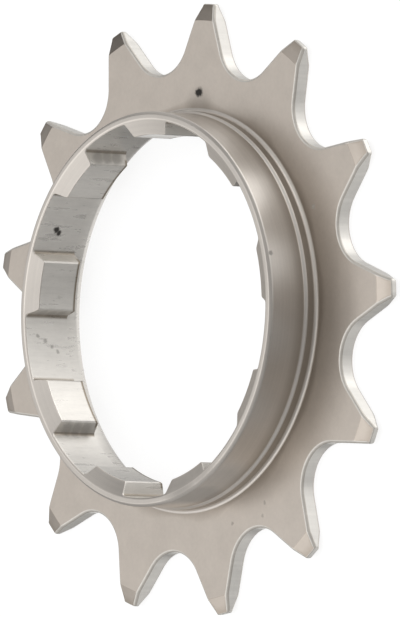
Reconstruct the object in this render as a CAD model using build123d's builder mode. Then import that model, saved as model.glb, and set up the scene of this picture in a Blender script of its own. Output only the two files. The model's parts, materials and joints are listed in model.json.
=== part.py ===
from build123d import *
import os
from math import acos, asin, atan2, cos, degrees, hypot, radians, sin, sqrt

# Bicycle sprocket in one piece of steel: a toothed plate with a spacer collar on its inboard side
# and a splined bore through both. The bore's axis is Z. The part lies on its outboard face, z = 0.
# Lengths are in millimetres and angles in degrees.

# Teeth, for a chain of half-inch pitch
tooth_count = 13
chain_pitch = 12.7
roller_seat_radius = 3.97
tooth_addendum = 2.155
tooth_tip_width = 1.65
tooth_tip_corner = 0.3
tooth_edge_chamfer = 0.22
first_tooth_angle = -2.25

# Plate, whose tooth tips are thinned by a turned bevel on both faces
plate_thickness = 1.6
tip_bevel_length = 1.55
tip_crest_thickness = 0.58

# Splined bore: nine broad lugs with a groove between each two. The lug's width is that of its inner
# end, and its flank angle is measured from its middle line
lug_count = 9
lug_radius = 16.28
lug_width = 4.55
lug_flank_angle = 30
first_lug_angle = 2.47
groove_depth = 1.27
groove_corner = 0.3
lug_edge_chamfer = 0.12

# Collar on the inboard side, with a conical lead-in on the ends of the lugs
overall_height = 6.95
collar_wall = 0.85
collar_rim_chamfer = 0.25
lead_in_depth = 0.68
lead_in_rim = 0.17

# Low shoulder and fillet where the collar stands on the plate
shoulder_height = 2.88
shoulder_step = 0.2
foot_fillet = 0.3

# Recess in the outboard face, which sets the lugs back, and the steep cone at its mouth
recess_depth = 1.85
recess_step = 0.25
recess_mouth_depth = 0.53
recess_mouth_width = 0.2

# Length by which a cutting body runs past the faces that it opens, and the least difference
# between two distances
overcut = 1.0
tolerance = 0.001

# Sizes that follow from those above
pitch_radius = chain_pitch / (2 * sin(radians(180 / tooth_count)))
tip_radius = pitch_radius + tooth_addendum
half_tooth_step = 180 / tooth_count
half_lug_step = 180 / lug_count
tip_half_angle = degrees(asin(tooth_tip_width / 2 / tip_radius))
bevel_radius = tip_radius - tip_bevel_length
bevel_drop = (plate_thickness - tip_crest_thickness) / 2
groove_radius = lug_radius + groove_depth
collar_radius = groove_radius + collar_wall
shoulder_radius = collar_radius + shoulder_step
recess_radius = groove_radius + recess_step
seam_angle = radians(first_tooth_angle - half_tooth_step)


def turned_profile():
    """Half section of the turned blank, from the bore out to the tip circle. It stands in the
    middle of a tooth gap, so that the seam of the revolve crosses no tooth."""
    outwards = (cos(seam_angle), sin(seam_angle), 0)
    sideways = (sin(seam_angle), -cos(seam_angle), 0)
    with BuildSketch(Plane(origin=(0, 0, 0), x_dir=outwards, z_dir=sideways)) as section:
        with BuildLine():
            Polyline(
                (lug_radius + lug_edge_chamfer, recess_depth),
                (lug_radius, recess_depth + lug_edge_chamfer),
                (lug_radius, overall_height - lead_in_depth),
                (groove_radius + lead_in_rim, overall_height),
                (collar_radius - collar_rim_chamfer, overall_height),
                (collar_radius, overall_height - collar_rim_chamfer),
                (collar_radius, shoulder_height),
                (shoulder_radius, shoulder_height - shoulder_step),
                (shoulder_radius, plate_thickness + foot_fillet),
            )
            RadiusArc(
                (shoulder_radius, plate_thickness + foot_fillet),
                (shoulder_radius + foot_fillet, plate_thickness),
                -foot_fillet,
            )
            Polyline(
                (shoulder_radius + foot_fillet, plate_thickness),
                (bevel_radius, plate_thickness),
                (tip_radius, plate_thickness - bevel_drop),
                (tip_radius, bevel_drop),
                (bevel_radius, 0),
                (recess_radius + recess_mouth_width, 0),
                (recess_radius, recess_mouth_depth),
                (recess_radius, recess_depth),
                (lug_radius + lug_edge_chamfer, recess_depth),
            )
        make_face()
    return section.sketch


def tooth_gap():
    """Outline of one gap, which opens along +X: an arc where the chain's roller seats, centred on
    the pitch circle, and two straight flanks that leave it tangentially and meet the tip circle
    at the corners of the neighbouring teeth."""
    corner_angle = radians(half_tooth_step - tip_half_angle)
    corner_x = tip_radius * cos(corner_angle)
    corner_y = tip_radius * sin(corner_angle)
    to_corner = hypot(corner_x - pitch_radius, corner_y)
    tangent_angle = atan2(corner_y, corner_x - pitch_radius) + acos(roller_seat_radius / to_corner)
    seat_end_x = pitch_radius + roller_seat_radius * cos(tangent_angle)
    seat_end_y = roller_seat_radius * sin(tangent_angle)
    run_out = 1 + overcut / (corner_x - seat_end_x)
    mouth_x = seat_end_x + run_out * (corner_x - seat_end_x)
    mouth_y = seat_end_y + run_out * (corner_y - seat_end_y)
    with BuildSketch() as gap:
        with BuildLine():
            Line((mouth_x, mouth_y), (seat_end_x, seat_end_y))
            ThreePointArc(
                (seat_end_x, seat_end_y),
                (pitch_radius - roller_seat_radius, 0),
                (seat_end_x, -seat_end_y),
            )
            Line((seat_end_x, -seat_end_y), (mouth_x, -mouth_y))
            Line((mouth_x, -mouth_y), (mouth_x, mouth_y))
        make_face()
    return gap.sketch


def spline_groove():
    """Outline of one groove, which opens along +X: the slanting flanks of the two lugs beside it
    and an outer wall on the groove's own circle, with a small radius in its two corners. A flank
    runs through the corner of the lug's inner end. It is worked out with the lug's middle line
    along +X, and then turned over into the groove's place."""
    lug_direction = radians(half_lug_step)
    flank_direction = radians(lug_flank_angle)
    tip_angle = asin(lug_width / 2 / lug_radius)
    tip_x = lug_radius * cos(tip_angle)
    tip_y = lug_radius * sin(tip_angle)
    along = tip_x * cos(flank_direction) + tip_y * sin(flank_direction)
    length = sqrt(along**2 - lug_radius**2 + groove_radius**2) - along
    ends = []
    for distance in (length, -overcut):
        x = tip_x + distance * cos(flank_direction)
        y = tip_y + distance * sin(flank_direction)
        ends.append(
            (
                x * cos(lug_direction) + y * sin(lug_direction),
                x * sin(lug_direction) - y * cos(lug_direction),
            )
        )
    (wall_x, wall_y), (mouth_x, mouth_y) = ends
    with BuildSketch() as groove:
        with BuildLine():
            Line((mouth_x, mouth_y), (wall_x, wall_y))
            ThreePointArc((wall_x, wall_y), (groove_radius, 0), (wall_x, -wall_y))
            Line((wall_x, -wall_y), (mouth_x, -mouth_y))
            Line((mouth_x, -mouth_y), (mouth_x, mouth_y))
        make_face()
        fillet(groove.vertices().group_by(Axis.X)[-1], groove_corner)
    return groove.sketch


def from_axis(point):
    """Distance of a point from the bore's axis."""
    return hypot(point.X, point.Y)


def round_a_tooth(edge):
    """True for an edge outside the collar whose distance from the bore's axis changes along it, as
    it does where the gaps' walls meet the plate's faces and the tip bevels."""
    distances = [from_axis(edge @ 0), from_axis(edge @ 0.5), from_axis(edge @ 1)]
    outside = min(distances) > shoulder_radius + foot_fillet
    return outside and max(distances) - min(distances) > tolerance


gap_outline = tooth_gap()
groove_outline = spline_groove()

with BuildPart() as sprocket:
    # Turned blank: plate, tip bevels, collar, shoulder, lead-in and recess in one revolve
    add(turned_profile())
    revolve(axis=Axis.Z)

    # Broached grooves, which leave the nine lugs standing
    with BuildSketch(Plane.XY.offset(-overcut)):
        with PolarLocations(0, lug_count, start_angle=first_lug_angle + half_lug_step):
            add(groove_outline)
    extrude(amount=overall_height + 2 * overcut, mode=Mode.SUBTRACT)
    lug_corners = sprocket.edges().filter_by(Axis.Z)
    lug_corners = lug_corners.filter_by(lambda edge: abs(from_axis(edge @ 0) - lug_radius) < tolerance)
    chamfer(lug_corners, lug_edge_chamfer)

    # Gaps between the teeth, whose tips keep small round corners
    with BuildSketch(Plane.XY.offset(-overcut)):
        with PolarLocations(0, tooth_count, start_angle=first_tooth_angle + half_tooth_step):
            add(gap_outline)
    extrude(amount=plate_thickness + 2 * overcut, mode=Mode.SUBTRACT)
    tip_corners = sprocket.edges().filter_by(Axis.Z)
    tip_corners = tip_corners.filter_by(lambda edge: abs(from_axis(edge @ 0) - tip_radius) < tolerance)
    fillet(tip_corners, tooth_tip_corner)

    # Broken edges round every tooth, on both faces
    chamfer(sprocket.edges().filter_by(round_a_tooth), tooth_edge_chamfer)

sprocket.part.label = "sprocket"

os.makedirs("parts", exist_ok=True)
export_step(sprocket.part, "parts/sprocket.step")
print("pitch radius", round(pitch_radius, 3), "volume", round(sprocket.part.volume, 1))
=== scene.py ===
import json
from math import acos, asin, atan2, cos, hypot, pi, radians, sin, sqrt

import bpy
import numpy as np
from bpy.props import FloatProperty, FloatVectorProperty, IntProperty, PointerProperty
from bpy.types import Operator, Panel, PropertyGroup
from mathutils import Matrix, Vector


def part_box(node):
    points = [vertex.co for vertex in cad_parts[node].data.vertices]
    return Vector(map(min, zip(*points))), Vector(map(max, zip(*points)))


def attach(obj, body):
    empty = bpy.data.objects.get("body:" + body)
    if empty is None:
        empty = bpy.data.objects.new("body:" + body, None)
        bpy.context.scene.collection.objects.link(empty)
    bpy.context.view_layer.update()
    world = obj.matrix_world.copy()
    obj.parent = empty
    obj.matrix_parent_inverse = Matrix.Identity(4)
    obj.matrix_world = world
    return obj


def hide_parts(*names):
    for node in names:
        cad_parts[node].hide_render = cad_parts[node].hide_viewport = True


bl_info = {
    "name": "Bicycle sprocket",
    "version": (1, 0, 0),
    "blender": (4, 5, 0),
    "location": "3D View > Sidebar > Sprocket",
    "description": "A plated steel sprocket with a turned collar and a splined bore",
    "category": "Object",
}

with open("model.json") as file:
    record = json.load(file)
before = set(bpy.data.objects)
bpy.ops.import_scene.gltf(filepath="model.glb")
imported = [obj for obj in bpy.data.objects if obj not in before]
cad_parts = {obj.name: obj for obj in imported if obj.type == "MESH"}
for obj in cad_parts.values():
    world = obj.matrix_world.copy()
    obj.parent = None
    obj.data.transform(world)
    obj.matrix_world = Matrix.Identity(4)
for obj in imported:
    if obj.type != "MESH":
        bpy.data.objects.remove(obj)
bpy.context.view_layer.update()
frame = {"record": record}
mount_dims = {mount["name"]: mount["dims"] for mount in frame["record"]["mounts"]}
lowest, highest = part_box("sprocket")
mm = 0.001
white = (1.0, 1.0, 1.0, 1.0)

# Small sizes of the part that the sidebar leaves out
groove_corner = 0.3 * mm
lug_chamfer = 0.12 * mm
lead_in_rim = 0.17 * mm
collar_chamfer = 0.25 * mm
shoulder_height = 2.88 * mm
shoulder_step = 0.2 * mm
foot_fillet = 0.3 * mm
mouth_depth = 0.53 * mm
mouth_width = 0.2 * mm

# Width of a softened edge, and the least distance between two rows of points
soft_edge = 0.045 * mm
least_gap = 0.02 * mm

# Columns of points in one tooth and in one lug, which are twice those of their half outlines, and
# the numbers of the four materials
tooth_columns = 72
lug_columns = 104
plate_face, bore_wall, collar_face, tooth_edge = range(4)


class SprocketSizes(PropertyGroup):
    """Sizes of the sprocket. Those that its record states are taken from the loaded frame."""

    tooth_count: IntProperty(
        name="Teeth",
        description="Number of teeth. Teeth and lugs have to be as 13 to 9",
        default=13,
        min=6,
    )
    pitch_radius: FloatProperty(
        name="Pitch radius",
        description="Radius of the circle on which the chain's rollers sit",
        default=mount_dims["tooth_ring"]["r_mm"] * mm,
        subtype="DISTANCE",
        unit="LENGTH",
        precision=5,
    )
    seat_radius: FloatProperty(
        name="Seat radius",
        description="Radius of the round bottom of a tooth gap",
        default=3.97 * mm,
        subtype="DISTANCE",
        unit="LENGTH",
        precision=5,
    )
    addendum: FloatProperty(
        name="Addendum",
        description="Height of the tooth tips above the pitch circle",
        default=2.155 * mm,
        subtype="DISTANCE",
        unit="LENGTH",
        precision=5,
    )
    tip_width: FloatProperty(
        name="Tip width",
        description="Width of a tooth at its tip, before its corners are rounded",
        default=1.65 * mm,
        subtype="DISTANCE",
        unit="LENGTH",
        precision=5,
    )
    tip_corner: FloatProperty(
        name="Tip corner",
        description="Radius of the two corners of a tooth's tip",
        default=0.3 * mm,
        subtype="DISTANCE",
        unit="LENGTH",
        precision=5,
    )
    first_tooth: FloatProperty(
        name="First tooth",
        description="Direction of the middle of the first tooth",
        default=radians(-2.25),
        subtype="ANGLE",
        unit="ROTATION",
    )
    thickness: FloatProperty(
        name="Plate thickness",
        description="Thickness of the toothed plate",
        default=mount_dims["tooth_ring"]["length_mm"] * mm,
        subtype="DISTANCE",
        unit="LENGTH",
        precision=5,
    )
    bevel_length: FloatProperty(
        name="Bevel length",
        description="Length of the turned bevel on the tooth tips, measured towards the axis",
        default=1.55 * mm,
        subtype="DISTANCE",
        unit="LENGTH",
        precision=5,
    )
    bevel_drop: FloatProperty(
        name="Bevel drop",
        description="Depth of the bevel at the tip, on each face of the plate",
        default=0.51 * mm,
        subtype="DISTANCE",
        unit="LENGTH",
        precision=5,
    )
    broken_edge: FloatProperty(
        name="Broken edge",
        description="Width of the rounded edge round each tooth",
        default=0.23 * mm,
        subtype="DISTANCE",
        unit="LENGTH",
        precision=5,
    )
    lug_count: IntProperty(
        name="Lugs",
        description="Number of lugs in the bore. Teeth and lugs have to be as 13 to 9",
        default=9,
        min=3,
    )
    lug_radius: FloatProperty(
        name="Lug radius",
        description="Radius of the circle on which the lugs end",
        default=mount_dims["splined_bore"]["r_mm"] * mm,
        subtype="DISTANCE",
        unit="LENGTH",
        precision=5,
    )
    lug_width: FloatProperty(
        name="Lug width",
        description="Width of one lug at its inner end",
        default=4.55 * mm,
        subtype="DISTANCE",
        unit="LENGTH",
        precision=5,
    )
    lug_flank: FloatProperty(
        name="Lug flank",
        description="Slant of a lug's flanks, measured from its middle line",
        default=radians(30),
        subtype="ANGLE",
        unit="ROTATION",
    )
    first_lug: FloatProperty(
        name="First lug",
        description="Direction of the middle of the first lug",
        default=radians(2.47),
        subtype="ANGLE",
        unit="ROTATION",
    )
    groove_depth: FloatProperty(
        name="Groove depth",
        description="Depth of the grooves between the lugs",
        default=1.27 * mm,
        subtype="DISTANCE",
        unit="LENGTH",
        precision=5,
    )
    height: FloatProperty(
        name="Overall height",
        description="Height from the outboard face to the collar's end",
        default=highest[2] - lowest[2],
        subtype="DISTANCE",
        unit="LENGTH",
        precision=5,
    )
    collar_wall: FloatProperty(
        name="Collar wall",
        description="Thickness of the collar outside the grooves",
        default=0.85 * mm,
        subtype="DISTANCE",
        unit="LENGTH",
        precision=5,
    )
    lead_in: FloatProperty(
        name="Lead-in depth",
        description="Height of the cone on the ends of the lugs",
        default=0.68 * mm,
        subtype="DISTANCE",
        unit="LENGTH",
        precision=5,
    )
    recess_radius: FloatProperty(
        name="Recess radius",
        description="Radius of the recess in the outboard face",
        default=mount_dims["outboard_recess"]["r_mm"] * mm,
        subtype="DISTANCE",
        unit="LENGTH",
        precision=5,
    )
    recess_depth: FloatProperty(
        name="Recess depth",
        description="Depth of the recess in the outboard face",
        default=1.85 * mm,
        subtype="DISTANCE",
        unit="LENGTH",
        precision=5,
    )


class SprocketFinish(PropertyGroup):
    """Colours and gloss of the plated steel."""

    plate_colour: FloatVectorProperty(
        name="Plate",
        description="Colour of the plating on the flat faces",
        default=(0.655, 0.59, 0.525),
        subtype="COLOR",
        min=0.0,
        max=1.0,
    )
    collar_colour: FloatVectorProperty(
        name="Collar",
        description="Colour of the plating on the turned collar and the lead-in cone",
        default=(0.675, 0.63, 0.58),
        subtype="COLOR",
        min=0.0,
        max=1.0,
    )
    cut_colour: FloatVectorProperty(
        name="Cut walls",
        description="Colour of the broached bore",
        default=(0.69, 0.662, 0.618),
        subtype="COLOR",
        min=0.0,
        max=1.0,
    )
    edge_colour: FloatVectorProperty(
        name="Tooth edges",
        description="Colour of the blanked tooth edges",
        default=(0.76, 0.735, 0.69),
        subtype="COLOR",
        min=0.0,
        max=1.0,
    )
    # Also the colour of the soft films of painted dark reflection
    speck_and_shade_colour: FloatVectorProperty(
        name="Specks",
        description="Colour of the dark specks of dirt",
        default=(0.02, 0.017, 0.014),
        subtype="COLOR",
        min=0.0,
        max=1.0,
    )
    roughness: FloatProperty(
        name="Roughness",
        description="Roughness of the satin plating",
        default=0.3,
        min=0.05,
        max=1.0,
        subtype="FACTOR",
    )


class StudioSettings(PropertyGroup):
    """Light and camera of the white studio."""

    lens: FloatProperty(
        name="Lens",
        description="Focal length for a sensor of 36 mm",
        default=725.97,
        subtype="DISTANCE_CAMERA",
        unit="CAMERA",
    )
    lamp_power: FloatProperty(
        name="Lamp",
        description="Power of the large soft lamp",
        default=0.5,
        min=0.0,
        subtype="POWER",
        unit="POWER",
    )


def around(radius, angle):
    """Points at distances from the axis and angles, one to a row."""
    return np.stack([radius * np.cos(angle), radius * np.sin(angle)], 1)


def polar(points, even):
    """Distances from the axis and angles, each angle unwrapped to lie beside its even column."""
    angle = np.arctan2(points[:, 1], points[:, 0])
    angle = even + (angle - even + pi) % (2 * pi) - pi
    return np.hypot(points[:, 0], points[:, 1]), angle


def to_circle(point, along, radius):
    """Distance from a point, along a unit vector, to the circle of that radius about the axis:
    the larger root of the square equation for a point of the line that lies on the circle."""
    reach = point @ along
    return -reach + sqrt(reach**2 - point @ point + radius**2)


def half_tooth(sizes):
    """Outline from the middle of a gap to the middle of the next tooth, with the gap's middle on
    +X. The seat is an arc about the roller's place on the pitch circle. The flank is the straight
    line that leaves it tangentially and would meet the tip circle at the tooth's corner. A small
    arc, tangent to the flank and to the tip circle, rounds that corner. Gives points, normals
    away from the metal, and the share of the broken edge at each."""
    half_step = pi / sizes.tooth_count
    tip = sizes.pitch_radius + sizes.addendum
    corner_angle = half_step - asin(sizes.tip_width / 2 / tip)
    corner = (tip * cos(corner_angle) - sizes.pitch_radius, tip * sin(corner_angle))
    tangent = atan2(corner[1], corner[0]) + acos(sizes.seat_radius / hypot(*corner))
    seat_columns = 16
    seat = pi - (pi - tangent) * (np.arange(seat_columns) + 0.5) / seat_columns
    seat_points = around(sizes.seat_radius, seat)
    seat_points[:, 0] += sizes.pitch_radius

    # The flank keeps one column where its broken edge crosses the start of the tip bevel
    start = np.array([cos(tangent), sin(tangent)]) * sizes.seat_radius
    start[0] += sizes.pitch_radius
    along = np.array([sin(tangent), -cos(tangent)])
    out = np.array([-cos(tangent), -sin(tangent)])
    inner = start - out * sizes.tip_corner
    run = to_circle(inner, along, tip - sizes.tip_corner)
    to_bevel = to_circle(start - out * sizes.broken_edge, along, tip - sizes.bevel_length)
    steps = np.concatenate([np.linspace(0, to_bevel, 9), np.linspace(to_bevel, run, 5)[1:]])
    flank_points = start + steps[:, None] * along
    flank_normals = np.repeat(out[None], len(steps), 0)

    centre = inner + run * along
    turn_from = atan2(out[1], out[0])
    turn_to = atan2(centre[1], centre[0])
    corner_normals = around(1, turn_from + (turn_to - turn_from) * np.arange(1, 5) / 5)
    corner_points = centre + corner_normals * sizes.tip_corner

    land_normals = around(1, turn_to + (half_step - turn_to) * np.array([0.0, 0.4, 0.8]))
    points = np.concatenate([seat_points, flank_points, corner_points, land_normals * tip])
    normals = np.concatenate([-around(1, seat), flank_normals, corner_normals, land_normals])
    full = np.ones(len(seat) + len(steps))
    share = np.concatenate([full, [0.9, 0.75, 0.6, 0.45], [0.32, 0.32, 0.32]])
    return points, normals, share


def half_lug(sizes):
    """Outline from the middle of a lug to the middle of the next groove, with the lug's middle on
    +X: the lug's own arc about the axis, a small chamfer, the straight flank that slants away
    from the lug's middle line, a small arc tangent to the flank and to the groove's circle, and
    the groove's arc. Gives points, normals away from the metal, and a mark of painted shade that
    grows along the flank and is full in the small arc, where the flank meets the groove."""
    groove = sizes.lug_radius + sizes.groove_depth
    tip_angle = asin(sizes.lug_width / 2 / sizes.lug_radius)
    tip = np.array([cos(tip_angle), sin(tip_angle)]) * sizes.lug_radius
    along = np.array([cos(sizes.lug_flank), sin(sizes.lug_flank)])
    out = np.array([-sin(sizes.lug_flank), cos(sizes.lug_flank)])
    inner = tip + out * groove_corner
    run = to_circle(inner, along, groove - groove_corner)
    centre = inner + run * along

    end_columns = 19
    flank_columns = 6
    arc_columns = 23
    end_angle = tip_angle - lug_chamfer / sizes.lug_radius
    end_out = around(1, end_angle * (np.arange(end_columns) + 0.5) / (end_columns - 0.5))
    flank_points = tip + np.linspace(lug_chamfer, run, flank_columns)[:, None] * along
    flank_normals = np.repeat(out[None], flank_columns, 0)
    turn_from = sizes.lug_flank - pi / 2
    turn_to = atan2(centre[1], centre[0])
    turn_out = around(1, turn_from + (turn_to - turn_from) * np.arange(1, 5) / 4.5)
    turn_points = centre + turn_out * groove_corner
    arc = np.arange(1, arc_columns + 1) / (arc_columns + 0.5)
    arc_out = around(1, turn_to + (pi / sizes.lug_count - turn_to) * arc)

    points = np.concatenate([end_out * sizes.lug_radius, flank_points, turn_points, arc_out * groove])
    normals = np.concatenate([-end_out, flank_normals, -turn_out, -arc_out])
    # Painted shade along the flank and in the small arc
    flank_shade = np.linspace(0.25, 0.5, flank_columns)
    mark = np.concatenate([np.zeros(end_columns), flank_shade, [1, 1, 1, 0.8], np.zeros(arc_columns)])
    return points, normals, mark


def full_ring(half, count, first, even):
    """Mirrors a half outline and carries it round the axis. The half runs from angle 0 to half a
    step, and the mirrored half runs on to a whole step. Its columns are then rolled so that each
    lies beside the evenly spaced column of the same number."""
    points, normals, mark = half
    step = 2 * pi / count
    across = np.array([[cos(step), sin(step)], [sin(step), -cos(step)]])
    points = np.concatenate([points, points[::-1] @ across])
    normals = np.concatenate([normals, normals[::-1] @ across])
    mark = np.concatenate([mark, mark[::-1]])
    turns = first + step * np.arange(count)
    spin = np.stack([around(1, turns), around(1, turns + pi / 2)], 1)
    points = np.einsum("pi,kij->kpj", points, spin).reshape(-1, 2)
    normals = np.einsum("pi,kij->kpj", normals, spin).reshape(-1, 2)
    mark = np.tile(mark, count)
    shift = int(round((first - even[0]) / (even[1] - even[0])))
    return np.roll(points, shift, 0), np.roll(normals, shift, 0), np.roll(mark, shift)


def cone_height(sizes, radius):
    """Height of the lead-in cone, which rises in a straight line from the lugs to the rim."""
    rim = sizes.lug_radius + sizes.groove_depth + lead_in_rim
    return sizes.height - sizes.lead_in * (rim - radius) / (rim - sizes.lug_radius)


def floor_height(sizes, radius):
    """Height of the recess floor, which rises at 45 degrees on the chamfer of the lugs' far ends."""
    return sizes.recess_depth + np.maximum(0, sizes.lug_radius + lug_chamfer - radius)


def face_height(sizes, radius):
    """Height of the plate's upper face, which falls in a straight line on the tip bevel."""
    bevel = sizes.pitch_radius + sizes.addendum - sizes.bevel_length
    part = np.clip((radius - bevel) / sizes.bevel_length, 0, 1.2)
    return sizes.thickness - sizes.bevel_drop * part


def collar_profile(sizes):
    """Circles of the rim, the collar, its shoulder and the fillet at its foot, each as radius,
    height, edge brightness and painted shade line. The edge brightness is partly worn plating
    and partly a painted highlight; the lines above the shoulder and at the foot are painted
    shade. Three circles round each corner: one before it, one just inside it and one after it."""
    top = sizes.height
    groove = sizes.lug_radius + sizes.groove_depth
    rim = groove + lead_in_rim
    collar = groove + sizes.collar_wall
    inner = collar - collar_chamfer
    below = top - collar_chamfer
    foot = collar + shoulder_step
    under = shoulder_height - shoulder_step
    circles = [
        # The rim's edge, brightened as worn plating and as a painted highlight
        (rim - soft_edge, cone_height(sizes, rim - soft_edge), 0.6, 0.0),
        (rim - 0.01 * mm, top - 0.012 * mm, 1.0, 0.0),
        (rim + soft_edge, top, 0.6, 0.0),
        (rim + 0.1 * mm, top, 0.0, 0.0),
        (inner - 0.11 * mm, top, 0.0, 0.0),
        (inner - 0.04 * mm, top, 0.2, 0.0),
        (inner, top - 0.012 * mm, 0.4, 0.0),
        (inner + 0.04 * mm, top - 0.042 * mm, 0.2, 0.0),
        (collar - 0.04 * mm, below + 0.04 * mm, 0.0, 0.0),
        (collar - 0.01 * mm, below - 0.005 * mm, 0.2, 0.0),
        (collar, below - 0.05 * mm, 0.1, 0.0),
        (collar, below - 0.15 * mm, 0.0, 0.0),
        (collar, below - 1.35 * mm, 0.0, 0.0),
        (collar, below - 2.65 * mm, 0.0, 0.0),
        # Painted shade line on the collar above the shoulder
        (collar, shoulder_height + 0.14 * mm, 0.0, 0.35),
        (collar, shoulder_height + 0.05 * mm, 0.3, 0.0),
        (collar + 0.012 * mm, shoulder_height, 0.6, 0.0),
        (collar + 0.045 * mm, shoulder_height - 0.04 * mm, 0.6, 0.0),
        (foot - 0.045 * mm, under + 0.04 * mm, 0.6, 0.0),
        (foot - 0.012 * mm, under, 0.6, 0.0),
        (foot, under - 0.05 * mm, 0.3, 0.0),
        # Painted shade at the collar's foot
        (foot, under - 0.13 * mm, 0.0, 0.45),
        (foot, sizes.thickness + foot_fillet + 0.06 * mm, 0.0, 0.45),
    ]
    # The fillet is brightened in its middle, partly as worn plating and partly as a painted highlight
    for turn in np.linspace(0, pi / 2, 7):
        out = foot_fillet * (1 - cos(turn))
        up = foot_fillet * (1 - sin(turn))
        circles.append((foot + out, sizes.thickness + up, sin(2 * turn), 0.0))
    return circles


def recess_profile(sizes):
    """Circles of the recess from the outboard face inwards: its steep mouth, its wall and the edge
    of its floor, each as radius, height and edge brightness, which is partly worn plating and
    partly a painted highlight."""
    recess = sizes.recess_radius
    return (
        (recess + mouth_width, 0.0, 1.0),
        (recess + mouth_width - 0.013 * mm, 0.035 * mm, 0.3),
        (recess + 0.013 * mm, mouth_depth - 0.035 * mm, 0.3),
        (recess, mouth_depth + 0.02 * mm, 1.0),
        (recess, sizes.recess_depth - 0.05 * mm, 0.0),
        (recess, sizes.recess_depth, 0.0),
        (recess - 0.05 * mm, sizes.recess_depth, 0.0),
    )


def face_rows(sizes, start, tooth_ring, even):
    """Rows of the upper face from a turned circle out to the tooth walls, each as points, heights,
    material number and painted shade line. The painted shade lies on the first row by the turned
    circle, along the crease of the tip bevel and over the broken edge. Circles run out to the tip
    bevel and go over into the tooth's outline, which is set in by the broken edge. The broken
    edge is between a quarter circle and a flat chamfer: seven tenths of the one and three tenths
    of the other."""
    tooth, tooth_out, share = tooth_ring
    edge_width = sizes.broken_edge * share
    inner_r, inner_a = polar(tooth - tooth_out * edge_width[:, None], even)
    bevel = sizes.pitch_radius + sizes.addendum - sizes.bevel_length
    near = np.minimum(bevel - 0.05 * mm, inner_r - 4 * least_gap)
    crease = np.minimum(bevel, inner_r - 3 * least_gap)
    far = np.minimum(bevel + 0.05 * mm, inner_r - 2 * least_gap)
    last = inner_r - least_gap
    bevelled = inner_r > bevel + 0.1 * mm
    levels = [start + (near - start) * part for part in np.linspace(0, 1, 9)]
    levels += [crease, far, (far + last) / 2, last]
    # Painted shade: a line on the first row by the turned circle and lines along the crease of the tip
    # bevel
    lines = [0.35] + [0.0] * 8 + [line * bevelled for line in (0.4, 0.15, 0.15, 0.4)]
    rows = []
    for radius, dark in zip(levels, lines):
        angle = even + (inner_a - even) * (radius - start) / (inner_r - start)
        rows.append((around(radius, angle), face_height(sizes, radius), plate_face, dark))
    for turn in np.linspace(0, pi / 2, 6):
        inwards = edge_width * (0.7 * (1 - sin(turn)) + 0.3 * (1 - turn * 2 / pi))
        down = edge_width * (0.7 * (1 - cos(turn)) + 0.3 * turn * 2 / pi)
        spots = tooth - tooth_out * inwards[:, None]
        height = face_height(sizes, np.hypot(spots[:, 0], spots[:, 1])) - down
        # Painted shade darkens the broken edge, growing towards the tooth wall
        rows.append((spots, height, tooth_edge, 0.15 + 0.3 * sin(turn)))
    rows.append((tooth, height - (height - sizes.thickness / 2) * 0.08, tooth_edge, 0.0))
    return rows


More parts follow.
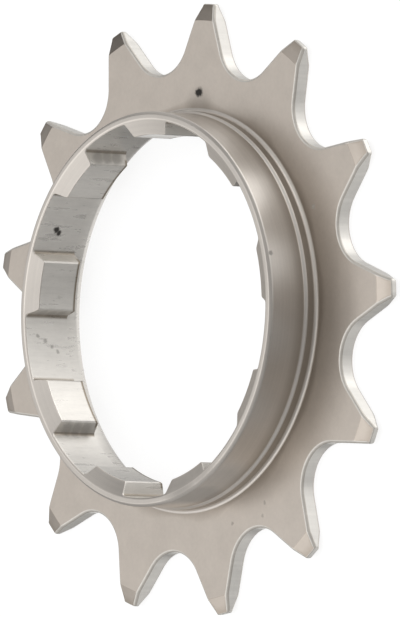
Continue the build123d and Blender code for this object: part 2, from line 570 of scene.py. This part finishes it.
def sprocket_rows(sizes):
    """The whole surface as rings of columns, each ring one row. The rows run up the bore wall, out
    over the lead-in cone and the rim, down the collar, out over the plate, round the tooth edge,
    back along the underside and through the recess to the bore wall again, so the grid is closed
    both ways. Between a turned circle and an outline, radius and angle go over in a straight line
    together. Gives the points, and for each row its material number and its columns' two marks:
    edge brightness, partly worn plating and partly painted highlight, and painted shade line."""
    columns = sizes.tooth_count * tooth_columns
    even = 2 * pi * np.arange(columns) / columns
    gap_middle = sizes.first_tooth + pi / sizes.tooth_count
    tooth_ring = full_ring(half_tooth(sizes), sizes.tooth_count, gap_middle, even)
    lug, lug_out, corner = full_ring(half_lug(sizes), sizes.lug_count, sizes.first_lug, even)
    lug_r, lug_a = polar(lug, even)
    groove = sizes.lug_radius + sizes.groove_depth
    rows = []

    def ring(spots, height, material, wear_and_highlight=0.0, dark=0.0):
        """Adds one row."""
        points = np.column_stack([spots, np.broadcast_to(height, columns)])
        marks = np.stack([np.broadcast_to(mark, columns) for mark in (wear_and_highlight, dark)])
        rows.append((points, material, marks))

    # Bore wall, from the recess floor to the cone, with painted shade along the lugs' flanks and corners
    # and a painted shade line at the lugs' far ends
    low = floor_height(sizes, lug_r)
    high = cone_height(sizes, lug_r)
    corner_shade = 0.8 * corner
    lug_end_shade = 0.9 * (lug_r < sizes.lug_radius + 0.6 * mm)
    for part, line in ((0.02, 1), (0.035, 1), (0.065, 0), (0.2, 0), (0.45, 0), (0.7, 0), (0.96, 0)):
        ring(lug, low + (high - low) * part, bore_wall, 0.0, np.maximum(corner_shade, lug_end_shade * line))
    # The lugs' top edge, brightened as worn plating and as a painted highlight
    for turn in (0.0, 0.35, 0.75, 1.0):
        inset = lug - lug_out * soft_edge * (1 - cos(turn * pi / 2))
        edge = cone_height(sizes, np.hypot(inset[:, 0], inset[:, 1]))
        ring(inset, edge - soft_edge * (1 - sin(turn * pi / 2)), collar_face, 1.0)

    # Cone, rim, collar and foot
    start_r, start_a = polar(inset, even)
    for part in (0.06, 0.35, 0.65, 0.94):
        radius = start_r + (groove + lead_in_rim - soft_edge - start_r) * part
        angle = start_a + (even - start_a) * part
        ring(around(radius, angle), cone_height(sizes, radius), collar_face)
    for radius, height, wear_and_highlight, dark in collar_profile(sizes):
        ring(around(radius, even), height, collar_face, wear_and_highlight, dark)

    # Plate, tip bevel, broken edge and tooth wall, then the same below in the other order
    start = groove + sizes.collar_wall + shoulder_step + foot_fillet + 0.05 * mm
    for spots, height, material, dark in face_rows(sizes, start, tooth_ring, even):
        ring(spots, height, material, 0.0, dark)
    ring(tooth_ring[0], sizes.thickness / 2, tooth_edge)
    start = sizes.recess_radius + mouth_width + 0.06 * mm
    for spots, height, material, dark in reversed(face_rows(sizes, start, tooth_ring, even)):
        ring(spots, sizes.thickness - height, material, 0.0, dark)

    # Recess, whose floor ends at the bore wall
    for radius, height, wear_and_highlight in recess_profile(sizes):
        ring(around(radius, even), height, bore_wall, wear_and_highlight)
    past_lug = sizes.recess_radius - lug_r
    step = np.minimum(least_gap, past_lug / 6)
    chamfered = sizes.lug_radius + lug_chamfer
    for limit, back in ((16.9 * mm, 4), (chamfered + 0.02 * mm, 3), (chamfered - 0.02 * mm, 2)):
        radius = np.maximum(limit, lug_r + back * step)
        angle = even + (lug_a - even) * (sizes.recess_radius - radius) / past_lug
        ring(around(radius, angle), floor_height(sizes, radius), collar_face)
    # Painted shade on the lugs' flanks and corners and at their far ends
    ring(lug, low, bore_wall, 0.0, np.maximum(corner_shade, lug_end_shade))

    points = np.stack([row[0] for row in rows])
    return points, np.array([row[1] for row in rows]), np.stack([row[2] for row in rows])


def grid_mesh(name, points, kinds, marks, slots):
    """Closed quad mesh of a grid that wraps round in both directions: the face of row i and column
    j joins it to row i + 1 and column j + 1. Its volume, summed from the faces, decides which way
    round they go. A face takes its row's material, and each point keeps its two marks."""
    rows, columns = points.shape[:2]
    number = np.arange(rows * columns).reshape(rows, columns)
    below = np.roll(number, -1, 0)
    quads = np.stack([number, np.roll(number, -1, 1), np.roll(below, -1, 1), below], 2).reshape(-1, 4)
    flat = points.reshape(-1, 3)
    a, b, c, d = (flat[quads[:, k]] for k in range(4))
    volume = (np.einsum("ij,ij->i", a, np.cross(b, c)) + np.einsum("ij,ij->i", a, np.cross(c, d))).sum() / 6
    if volume < 0:
        quads = quads[:, ::-1]
    mesh = bpy.data.meshes.new(name)
    mesh.vertices.add(len(flat))
    mesh.vertices.foreach_set("co", flat.ravel())
    mesh.loops.add(quads.size)
    mesh.loops.foreach_set("vertex_index", quads.ravel())
    mesh.polygons.add(len(quads))
    mesh.polygons.foreach_set("loop_start", np.arange(0, quads.size, 4))
    for material in slots:
        mesh.materials.append(material)
    mesh.polygons.foreach_set("material_index", np.repeat(kinds, columns))
    mesh.update(calc_edges=True)
    mesh.validate()
    # Marks per point: edge brightness as worn plating and painted highlight, and painted shade
    for k, label in enumerate(("edge_wear_and_highlight", "painted_shade_line")):
        mark = mesh.attributes.new(label, "FLOAT", "POINT")
        mark.data.foreach_set("value", marks[:, k].ravel().astype(np.float32))
    mesh.shade_smooth()
    mesh.set_sharp_from_angle(angle=radians(33))
    return mesh


def set_inputs(node, values):
    """Sets a node's inputs by name or number. A socket among the values is linked."""
    for key, value in values.items():
        if isinstance(value, bpy.types.NodeSocket):
            node.id_data.links.new(value, node.inputs[key])
        else:
            node.inputs[key].default_value = value


def new_node(tree, kind, values=None, **settings):
    """Adds a node with its settings and inputs."""
    node = tree.nodes.new(kind)
    for key, value in settings.items():
        setattr(node, key, value)
    set_inputs(node, values or {})
    return node


def calc(tree, operation, *values, clamp=False):
    """Math node; gives its result."""
    inputs = dict(enumerate(values))
    return new_node(tree, "ShaderNodeMath", inputs, operation=operation, use_clamp=clamp).outputs[0]


def vector(tree, operation, *values, result="Vector"):
    """Vector math node; gives its result."""
    inputs = dict(enumerate(values))
    return new_node(tree, "ShaderNodeVectorMath", inputs, operation=operation).outputs[result]


def ramp(tree, value, start, end, low=0.0, high=1.0):
    """Smooth step of a value from one level to another."""
    inputs = {"Value": value, "From Min": start, "From Max": end, "To Min": low, "To Max": high}
    node = new_node(tree, "ShaderNodeMapRange", inputs, interpolation_type="SMOOTHSTEP")
    return node.outputs["Result"]


def noise(tree, place, scale, detail=2.0, roughness=0.5):
    """Noise texture; gives its value."""
    inputs = {"Vector": place, "Scale": scale, "Detail": detail, "Roughness": roughness}
    return new_node(tree, "ShaderNodeTexNoise", inputs).outputs[0]


def tint(tree, factor, first, second, blend="MIX"):
    """Mix of two colours; gives the mixed colour."""
    node = new_node(tree, "ShaderNodeMix", data_type="RGBA", blend_type=blend)
    set_inputs(node, {0: factor, 6: first, 7: second})
    return node.outputs[2]


def new_group(name, inputs, outputs):
    """Shader node group with named value and vector sockets; gives the tree and its two ends."""
    tree = bpy.data.node_groups.new(name, "ShaderNodeTree")
    for label, kind in inputs:
        tree.interface.new_socket(label, in_out="INPUT", socket_type=kind)
    for label, kind in outputs:
        tree.interface.new_socket(label, in_out="OUTPUT", socket_type=kind)
    return tree, tree.nodes.new("NodeGroupInput"), tree.nodes.new("NodeGroupOutput")


def grain_group():
    """Mottled plating: a cloudy shade of some millimetres and a fine one of tenths, as one value
    about 0.5, and a fine height."""
    tree, ends, out = new_group(
        "Plating grain",
        [("Place", "NodeSocketVector"), ("Cloud", "NodeSocketFloat"), ("Fine", "NodeSocketFloat")],
        [("Shade", "NodeSocketFloat"), ("Height", "NodeSocketFloat")],
    )
    cloud = noise(tree, ends.outputs["Place"], 420.0, 3.0, 0.55)
    fine = noise(tree, ends.outputs["Place"], 2600.0, 2.0, 0.6)
    cloud = calc(tree, "MULTIPLY", calc(tree, "SUBTRACT", cloud, 0.5), ends.outputs["Cloud"])
    grain = calc(tree, "MULTIPLY", calc(tree, "SUBTRACT", fine, 0.5), ends.outputs["Fine"])
    set_inputs(out, {"Shade": calc(tree, "ADD", calc(tree, "ADD", cloud, grain), 0.5), "Height": fine})
    return tree


def turning_group():
    """Turning marks: noise that changes fast with the distance from the axis and with the height,
    and slowly along the circle, so that its bands run round the part."""
    tree, ends, out = new_group(
        "Turning marks",
        [("Place", "NodeSocketVector"), ("Pitch", "NodeSocketFloat")],
        [("Shade", "NodeSocketFloat")],
    )
    parts = new_node(tree, "ShaderNodeSeparateXYZ", {0: ends.outputs["Place"]})
    square = calc(tree, "MULTIPLY", parts.outputs[0], parts.outputs[0])
    square = calc(tree, "MULTIPLY_ADD", parts.outputs[1], parts.outputs[1], square)
    away = calc(tree, "MULTIPLY", calc(tree, "SQRT", square), ends.outputs["Pitch"])
    rise = calc(tree, "MULTIPLY", parts.outputs[2], ends.outputs["Pitch"])
    side = calc(tree, "MULTIPLY", parts.outputs[1], 60.0)
    place = new_node(tree, "ShaderNodeCombineXYZ", {0: away, 1: rise, 2: side}).outputs[0]
    set_inputs(out, {"Shade": noise(tree, place, 1.0, 3.0, 0.6)})
    return tree


def streak_group():
    """Tool streaks on a wall that stands along the axis: noise that changes fast across the wall
    and slowly along the axis."""
    tree, ends, out = new_group(
        "Tool streaks",
        [("Place", "NodeSocketVector"), ("Across", "NodeSocketFloat"), ("Along", "NodeSocketFloat")],
        [("Shade", "NodeSocketFloat")],
    )
    stretch = new_node(tree, "ShaderNodeCombineXYZ")
    set_inputs(stretch, {0: ends.outputs["Across"], 1: ends.outputs["Across"], 2: ends.outputs["Along"]})
    place = vector(tree, "MULTIPLY", ends.outputs["Place"], stretch.outputs[0])
    set_inputs(out, {"Shade": noise(tree, place, 1.0, 3.0, 0.6)})
    return tree


def speck_and_shade_group():
    """Dark specks of dirt where the part has them, and soft films of painted dark reflection on
    the collar's foot, on its lowest stretch and on three lugs' flanks: each is a soft ball about
    its own point, cut by the surface, given by its place and radius in millimetres and its
    strength. Films on the lugs' flanks are columns of three balls. The mask is the strongest ball."""
    tree, ends, out = new_group(
        "Dirt specks and painted shade", [("Place", "NodeSocketVector")], [("Mask", "NodeSocketFloat")]
    )
    wobble = new_node(tree, "ShaderNodeTexNoise", {"Vector": ends.outputs["Place"], "Scale": 4000.0})
    drift = vector(tree, "SCALE", vector(tree, "SUBTRACT", wobble.outputs["Color"], (0.5, 0.5, 0.5)))
    drift.node.inputs["Scale"].default_value = 0.35 * mm
    place = vector(tree, "ADD", ends.outputs["Place"], drift)
    specks = [
        (20.36, -0.57, 1.60, 0.62, 1.0),
        (20.38, -0.83, 1.60, 0.62, 1.0),
        # Soft film of painted dark reflection at the collar's foot
        (18.9, -0.8, 2.2, 2.6, 0.3),
        (7.38, 15.92, 4.75, 0.54, 1.0),
        (7.10, 16.05, 4.35, 0.44, 1.0),
        # Broad films of painted dark reflection on the collar's lowest stretch
        (-17.3, -6.6, 5.3, 4.0, 0.42),
        (-15.9, -9.4, 5.3, 4.0, 0.27),
        (-2.63, 17.35, 5.45, 0.3, 0.45),
        (-3.08, 17.28, 4.64, 0.3, 0.45),
        (-3.62, 17.17, 3.86, 0.26, 0.4),
        (-4.07, 17.07, 3.2, 0.26, 0.4),
        (5.32, -17.61, 6.46, 0.34, 0.5),
        (9.76, -17.75, 1.60, 0.3, 0.4),
        (1.05, 16.25, 3.88, 0.34, 0.35),
        (-19.69, -7.44, 1.60, 0.26, 0.35),
        (-18.86, -11.74, 1.60, 0.24, 0.3),
        (-17.65, -11.98, 1.60, 0.26, 0.35),
    ]
    # Columns of painted dark reflection on three lugs' flanks
    for x, y, radius, strength in (
        (14.2, 9.35, 0.95, 0.35),
        (-11.3, 12.7, 1.0, 0.45),
        (-0.45, 17.0, 0.8, 0.25),
    ):
        specks += [(x, y, z, radius, strength) for z in (5.3, 4.2, 3.1)]
    mask = None
    for x, y, z, radius, strength in specks:
        gap = vector(tree, "DISTANCE", place, (x * mm, y * mm, z * mm), result="Value")
        spot = ramp(tree, gap, radius * mm, radius * 0.35 * mm, 0.0, strength)
        mask = spot if mask is None else calc(tree, "MAXIMUM", mask, spot)
    set_inputs(out, {"Mask": mask})
    return tree


def metal(name, colour, finish, groups, marks):
    """Plated steel. The colour is darkened and lightened by the plating's grain and by the marks
    of the tool that made the surface, which also leaves dark pits. Edges are a little brighter,
    partly as worn plating and partly as a painted highlight, lines of painted shade are brown, and
    specks of dirt and soft films of painted dark reflection lie on it. Roughness and relief follow
    the same marks, and the specks and films are rough and no metal."""
    material = bpy.data.materials.new(name)
    material.use_nodes = True
    tree = material.node_tree
    shader = tree.nodes["Principled BSDF"]
    place = new_node(tree, "ShaderNodeTexCoord").outputs["Object"]
    grain = new_node(tree, "ShaderNodeGroup", node_tree=groups["grain"])
    set_inputs(grain, {"Place": place, "Cloud": marks["cloud"], "Fine": marks["fine"]})
    tool = new_node(tree, "ShaderNodeGroup", node_tree=groups[marks["tool"]])
    set_inputs(tool, dict(marks["scales"], Place=place))
    specks = new_node(tree, "ShaderNodeGroup", {"Place": place}, node_tree=groups["specks"])
    wear_and_highlight = new_node(tree, "ShaderNodeAttribute", attribute_name="edge_wear_and_highlight").outputs["Fac"]
    line = new_node(tree, "ShaderNodeAttribute", attribute_name="painted_shade_line").outputs["Fac"]

    pit_from = 0.53
    pit_to = 0.72
    streaks = calc(tree, "MULTIPLY", calc(tree, "SUBTRACT", tool.outputs["Shade"], 0.5), marks["depth"])
    pits = ramp(tree, tool.outputs["Shade"], pit_from, pit_to, 0.0, marks["pits"])
    streaks = calc(tree, "SUBTRACT", streaks, pits)
    shade = calc(tree, "ADD", calc(tree, "ADD", grain.outputs["Shade"], 0.5), streaks)
    # Edges brightened, partly as worn plating and partly as a painted highlight
    worn_and_highlight = calc(tree, "MULTIPLY", wear_and_highlight, marks["wear_and_highlight"])
    shade = calc(tree, "ADD", shade, worn_and_highlight)
    grey = new_node(tree, "ShaderNodeCombineColor", {0: shade, 1: shade, 2: shade}).outputs[0]
    base = tint(tree, 1.0, (*colour, 1.0), grey, "MULTIPLY")
    # Painted shade: the shade lines turn the colour brown
    brown = tint(tree, 1.0, base, (0.3, 0.25, 0.19, 1.0), "MULTIPLY")
    base = tint(tree, line, base, brown)
    # Dirt specks and soft films of painted dark reflection darken the colour
    dirt_and_shade = specks.outputs["Mask"]
    base = tint(tree, dirt_and_shade, base, (*finish.speck_and_shade_colour, 1.0))
    rough = calc(tree, "MULTIPLY_ADD", streaks, 0.35, finish.roughness + marks["rough"])
    rough = calc(tree, "MULTIPLY_ADD", dirt_and_shade, 0.5, rough, clamp=True)
    height = calc(tree, "MULTIPLY_ADD", streaks, marks["relief"], grain.outputs["Height"])
    bump = new_node(tree, "ShaderNodeBump", {"Height": height, "Strength": 0.35, "Distance": 0.004 * mm})
    set_inputs(
        shader,
        {
            "Base Color": base,
            "Roughness": rough,
            "Metallic": calc(tree, "MULTIPLY_ADD", dirt_and_shade, -marks["metal"], marks["metal"]),
            "Normal": bump.outputs[0],
        },
    )
    return material


def steel_materials(finish):
    """The four surfaces of the part: plated flat faces, broached bore, turned collar and blanked
    tooth edges, in the order of the material numbers. For each: strength of the cloudy and of
    the fine grain, the tool's marks with their scales and their depth in the colour, change of
    roughness, relief, brightness of edges as worn plating and painted highlight, share of metal,
    and depth of the dark pits."""
    groups = {
        "grain": grain_group(),
        "turning": turning_group(),
        "streaks": streak_group(),
        "specks": speck_and_shade_group(),
    }
    plate = {
        "cloud": 0.16,
        "fine": 0.1,
        "tool": "turning",
        "scales": {"Pitch": 900.0},
        "depth": 0.05,
        "rough": 0.03,
        "relief": 1.0,
        "wear_and_highlight": 0.05,
        "metal": 1.0,
        "pits": 0.0,
    }
    bore = {
        "cloud": 0.12,
        "fine": 0.08,
        "tool": "streaks",
        "scales": {"Across": 1900.0, "Along": 260.0},
        "depth": 0.35,
        "rough": 0.0,
        "relief": 3.0,
        "wear_and_highlight": 0.06,
        "metal": 0.7,
        "pits": 0.26,
    }
    collar = {
        "cloud": 0.1,
        "fine": 0.05,
        "tool": "turning",
        "scales": {"Pitch": 5200.0},
        "depth": 0.16,
        "rough": 0.12,
        "relief": 3.0,
        "wear_and_highlight": 0.25,
        "metal": 1.0,
        "pits": 0.0,
    }
    tooth = {
        "cloud": 0.16,
        "fine": 0.08,
        "tool": "streaks",
        "scales": {"Across": 2000.0, "Along": 90.0},
        "depth": 0.25,
        "rough": 0.0,
        "relief": 2.0,
        "wear_and_highlight": 0.06,
        "metal": 0.6,
        "pits": 0.0,
    }
    return [
        metal("Plated face", finish.plate_colour, finish, groups, plate),
        metal("Broached bore", finish.cut_colour, finish, groups, bore),
        metal("Turned collar", finish.collar_colour, finish, groups, collar),
        metal("Blanked edge", finish.edge_colour, finish, groups, tooth),
    ]


def studio_world():
    """Plain white studio. The camera sees white and matt surfaces get plain light. For gloss it is
    grey with soft bright and dark regions, each a smooth step of the cosine of the angle to its
    middle, given by its azimuth, elevation and width in degrees and by its change of the light."""
    world = bpy.data.worlds.new("Studio")
    world.use_nodes = True
    tree = world.node_tree
    tree.nodes.clear()
    way = new_node(tree, "ShaderNodeTexCoord").outputs["Generated"]
    way = vector(tree, "NORMALIZE", way)
    even_light = 0.31
    least_light = 0.05
    matt_light = 1.2
    light = even_light
    for azimuth, elevation, width, change in (
        (-21, -11, 43, 0.89),
        (126, 62, 56, 0.8),
        (47, 22, 50, -0.6),
        (-17, 11, 51, -1.12),
        (11, 10, 72, 0.89),
        (-46, -9, 64, 1.1),
        (-69, -4, 55, -0.57),
        (86, 6, 19, 0.4),
        (92, -13, 24, -0.2),
        (90, -86, 42, 0.9),
        (168, -42, 30, 0.1),
        (96, -38, 24, 0.8),
        (66, 80, 34, -0.2),
        (138, -40, 28, -0.28),
    ):
        a = radians(azimuth)
        e = radians(elevation)
        middle = (cos(a) * cos(e), sin(a) * cos(e), sin(e))
        near = vector(tree, "DOT_PRODUCT", way, middle, result="Value")
        part = ramp(tree, near, cos(radians(width)), cos(radians(width / 10)))
        light = calc(tree, "MULTIPLY_ADD", part, change, light)
    light = calc(tree, "MAXIMUM", light, least_light)
    path = new_node(tree, "ShaderNodeLightPath")
    glossy = new_node(tree, "ShaderNodeBackground", {"Color": white, "Strength": light})
    plain = new_node(tree, "ShaderNodeBackground", {"Color": white, "Strength": matt_light})
    mix = new_node(tree, "ShaderNodeMixShader", {0: path.outputs["Is Glossy Ray"]})
    set_inputs(mix, {1: plain.outputs[0], 2: glossy.outputs[0]})
    new_node(tree, "ShaderNodeOutputWorld", {"Surface": mix.outputs[0]})
    bpy.context.scene.world = world


def floor_material():
    """White floor. Most of its white is its own, so the camera sees plain white, and the rest is
    matt white that the object's soft shadow darkens."""
    material = bpy.data.materials.new("White floor")
    material.use_nodes = True
    tree = material.node_tree
    tree.nodes.clear()
    own = new_node(tree, "ShaderNodeEmission", {"Color": white, "Strength": 0.83})
    matt = new_node(tree, "ShaderNodeBsdfDiffuse", {"Color": (0.2, 0.2, 0.2, 1)})
    both = new_node(tree, "ShaderNodeAddShader", {0: own.outputs[0], 1: matt.outputs[0]})
    new_node(tree, "ShaderNodeOutputMaterial", {"Surface": both.outputs[0]})
    return material


class SPROCKET_OT_body(Operator):
    """Make the sprocket: toothed plate, collar and splined bore in one closed surface"""

    bl_idname = "sprocket.body"
    bl_label = "Sprocket"

    def execute(self, context):
        scene = context.scene
        sizes = scene.sprocket_sizes
        if sizes.tooth_count * tooth_columns != sizes.lug_count * lug_columns:
            self.report({"ERROR"}, "The numbers of teeth and lugs have to be as 13 to 9")
            return {"CANCELLED"}
        points, kinds, marks = sprocket_rows(sizes)
        slots = steel_materials(scene.sprocket_finish)
        mesh = grid_mesh("sprocket_body", points, kinds, marks, slots)
        body = bpy.data.objects.new("sprocket_body", mesh)
        scene.collection.objects.link(body)
        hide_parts("sprocket")
        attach(body, "root")
        return {"FINISHED"}


class SPROCKET_OT_stage(Operator):
    """Make the white floor, the studio light, the soft lamp and the camera"""

    bl_idname = "sprocket.stage"
    bl_label = "Stage"

    def execute(self, context):
        scene = context.scene
        settings = scene.sprocket_studio
        half = 3.0
        floor_gap = 0.01 * mm
        corners = np.array([[-half, -half, 0], [half, -half, 0], [half, half, 0], [-half, half, 0]])
        mesh = bpy.data.meshes.new("floor")
        mesh.from_pydata((corners - (0, 0, floor_gap)).tolist(), [], [(0, 1, 2, 3)])
        mesh.materials.append(floor_material())
        floor = bpy.data.objects.new("floor", mesh)
        floor.visible_glossy = False
        scene.collection.objects.link(floor)
        studio_world()

        lamp = bpy.data.lights.new("soft_lamp", "AREA")
        lamp.energy = settings.lamp_power
        lamp.size = 0.6
        soft = bpy.data.objects.new("soft_lamp", lamp)
        soft.matrix_world = Matrix.Translation((0.1, 0.3, 0.9)) @ Matrix.Rotation(radians(-18), 4, "X")
        scene.collection.objects.link(soft)

        camera = bpy.data.cameras.new("camera")
        camera.lens = settings.lens
        camera.sensor_width = 36.0
        camera.clip_start = 0.05
        camera.clip_end = 20.0
        eye = bpy.data.objects.new("camera", camera)
        eye.matrix_world = Matrix(
            (
                (0.02968867, 0.99945138, -0.01468035, -0.016786),
                (-0.63760896, 0.00762535, -0.77032244, -0.894576),
                (-0.76978789, 0.03223018, 0.63748555, 0.740434),
                (0.0, 0.0, 0.0, 1.0),
            )
        )
        scene.collection.objects.link(eye)
        scene.camera = eye
        scene.view_settings.view_transform = "Standard"
        return {"FINISHED"}


class SPROCKET_PT_tools(Panel):
    """Sidebar panel with the sprocket's sizes, finish and steps"""

    bl_label = "Sprocket"
    bl_idname = "SPROCKET_PT_tools"
    bl_space_type = "VIEW_3D"
    bl_region_type = "UI"
    bl_category = "Sprocket"

    def draw(self, context):
        layout = self.layout
        for group in (
            context.scene.sprocket_sizes,
            context.scene.sprocket_finish,
            context.scene.sprocket_studio,
        ):
            box = layout.box()
            for name in group.__annotations__:
                box.prop(group, name)
        layout.operator(SPROCKET_OT_body.bl_idname)
        layout.operator(SPROCKET_OT_stage.bl_idname)


classes = (
    SprocketSizes,
    SprocketFinish,
    StudioSettings,
    SPROCKET_OT_body,
    SPROCKET_OT_stage,
    SPROCKET_PT_tools,
)


def register():
    """Registers the classes and hangs the settings on the scene."""
    for cls in classes:
        bpy.utils.register_class(cls)
    bpy.types.Scene.sprocket_sizes = PointerProperty(type=SprocketSizes)
    bpy.types.Scene.sprocket_finish = PointerProperty(type=SprocketFinish)
    bpy.types.Scene.sprocket_studio = PointerProperty(type=StudioSettings)


def unregister():
    """Takes the settings off the scene and unregisters the classes."""
    del bpy.types.Scene.sprocket_studio
    del bpy.types.Scene.sprocket_finish
    del bpy.types.Scene.sprocket_sizes
    for cls in reversed(classes):
        bpy.utils.unregister_class(cls)


def main():
    register()
    bpy.ops.sprocket.stage()
    bpy.ops.sprocket.body()


if __name__ == "__main__":
    main()
